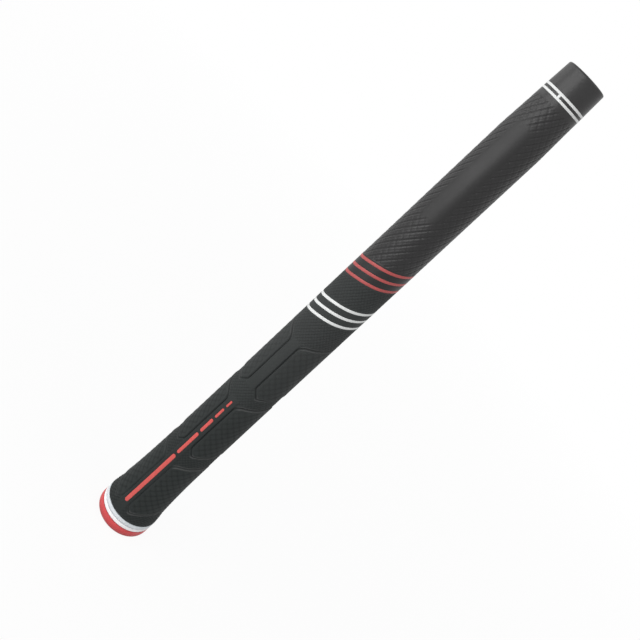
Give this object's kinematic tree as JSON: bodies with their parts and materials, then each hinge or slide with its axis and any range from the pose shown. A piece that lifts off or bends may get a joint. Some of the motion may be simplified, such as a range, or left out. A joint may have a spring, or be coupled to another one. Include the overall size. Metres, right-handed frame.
{
  "type": "golf grip",
  "caption": "Tapered round rubber golf grip with a vented end cap, trim rings, slanted stripes and a row of alignment dashes; it slides over the butt of a club shaft.",
  "frame": {"origin": "centre of the end cap's flat butt face", "axes": "+Z along the grip's axis from the end cap to the mouth where the shaft goes in; the row of alignment dashes faces -Y"},
  "size_m": [0.0268, 0.0268, 0.267],
  "materials": {
    "upper_rubber": "matt moulded rubber with fine cross-hatch and smooth-edged pads",
    "lower_rubber": "matt moulded rubber with a diamond tread",
    "red_rubber": "satin moulded rubber",
    "white_rubber": "satin moulded rubber",
    "red_paint": "paint filled into a moulded groove",
    "white_paint": "paint filled into a moulded groove"
  },
  "bodies": {
    "root": {"upper_hand_sleeve": "upper_rubber", "lower_hand_sleeve": "lower_rubber", "end_cap": "red_rubber", "trim_ring_lower": "white_rubber", "trim_ring_upper": "white_rubber", "white_stripe_1": "white_paint", "white_stripe_2": "white_paint", "white_stripe_3": "white_paint", "red_stripe_1": "red_paint", "red_stripe_2": "red_paint", "red_stripe_3": "red_paint", "mouth_rings": "white_paint", "alignment_dash_1": "red_paint", "alignment_dash_2": "red_paint", "alignment_dash_3": "red_paint", "alignment_dash_4": "red_paint", "alignment_dash_5": "red_paint"}
  },
  "joints": []
}
